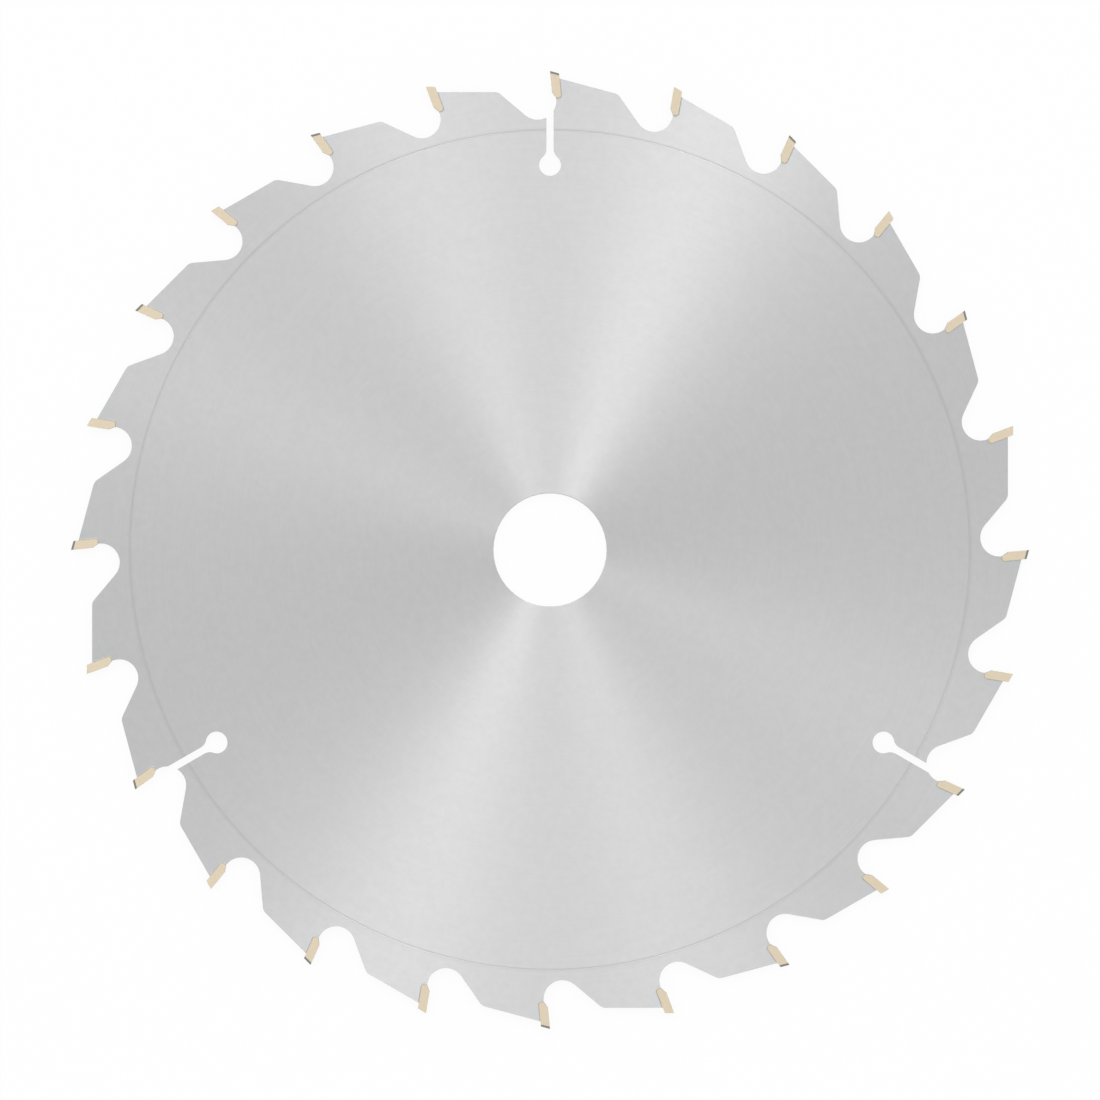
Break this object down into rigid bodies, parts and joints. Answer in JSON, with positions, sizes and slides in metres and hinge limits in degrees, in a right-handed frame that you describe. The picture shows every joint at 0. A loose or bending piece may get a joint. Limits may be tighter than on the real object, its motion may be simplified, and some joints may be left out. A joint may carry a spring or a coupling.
{
  "type": "circular saw blade",
  "caption": "Flat round steel saw blade for wood, with hooked carbide-tipped teeth, keyhole expansion slots and a plain arbor bore.",
  "frame": {"origin": "centre of the arbor bore, on the middle plane of the steel plate", "axes": "+Z along the arbor axis, out of the face that the picture shows; +Y through the cutting corner of the first slotted tooth, which is at the top of the picture; +X to the picture's right"},
  "size_m": [0.254, 0.254, 0.0028],
  "materials": {
    "plate_steel": "ground in fine concentric lines, bare and bright",
    "cemented_carbide": "matt beige flanks with a dark ground top",
    "silver_solder": "dull, as brazed"
  },
  "bodies": {
    "root": {"blade_plate": "plate_steel", "carbide_tip_01": "cemented_carbide", "carbide_tip_02": "cemented_carbide", "carbide_tip_03": "cemented_carbide", "carbide_tip_04": "cemented_carbide", "carbide_tip_05": "cemented_carbide", "carbide_tip_06": "cemented_carbide", "carbide_tip_07": "cemented_carbide", "carbide_tip_08": "cemented_carbide", "carbide_tip_09": "cemented_carbide", "carbide_tip_10": "cemented_carbide", "carbide_tip_11": "cemented_carbide", "carbide_tip_12": "cemented_carbide", "carbide_tip_13": "cemented_carbide", "carbide_tip_14": "cemented_carbide", "carbide_tip_15": "cemented_carbide", "carbide_tip_16": "cemented_carbide", "carbide_tip_17": "cemented_carbide", "carbide_tip_18": "cemented_carbide", "carbide_tip_19": "cemented_carbide", "carbide_tip_20": "cemented_carbide", "carbide_tip_21": "cemented_carbide", "carbide_tip_22": "cemented_carbide", "carbide_tip_23": "cemented_carbide", "carbide_tip_24": "cemented_carbide", "braze_seam_01": "silver_solder", "braze_seam_02": "silver_solder", "braze_seam_03": "silver_solder", "braze_seam_04": "silver_solder", "braze_seam_05": "silver_solder", "braze_seam_06": "silver_solder", "braze_seam_07": "silver_solder", "braze_seam_08": "silver_solder", "braze_seam_09": "silver_solder", "braze_seam_10": "silver_solder", "braze_seam_11": "silver_solder", "braze_seam_12": "silver_solder", "braze_seam_13": "silver_solder", "braze_seam_14": "silver_solder", "braze_seam_15": "silver_solder", "braze_seam_16": "silver_solder", "braze_seam_17": "silver_solder", "braze_seam_18": "silver_solder", "braze_seam_19": "silver_solder", "braze_seam_20": "silver_solder", "braze_seam_21": "silver_solder", "braze_seam_22": "silver_solder", "braze_seam_23": "silver_solder", "braze_seam_24": "silver_solder"}
  },
  "joints": []
}
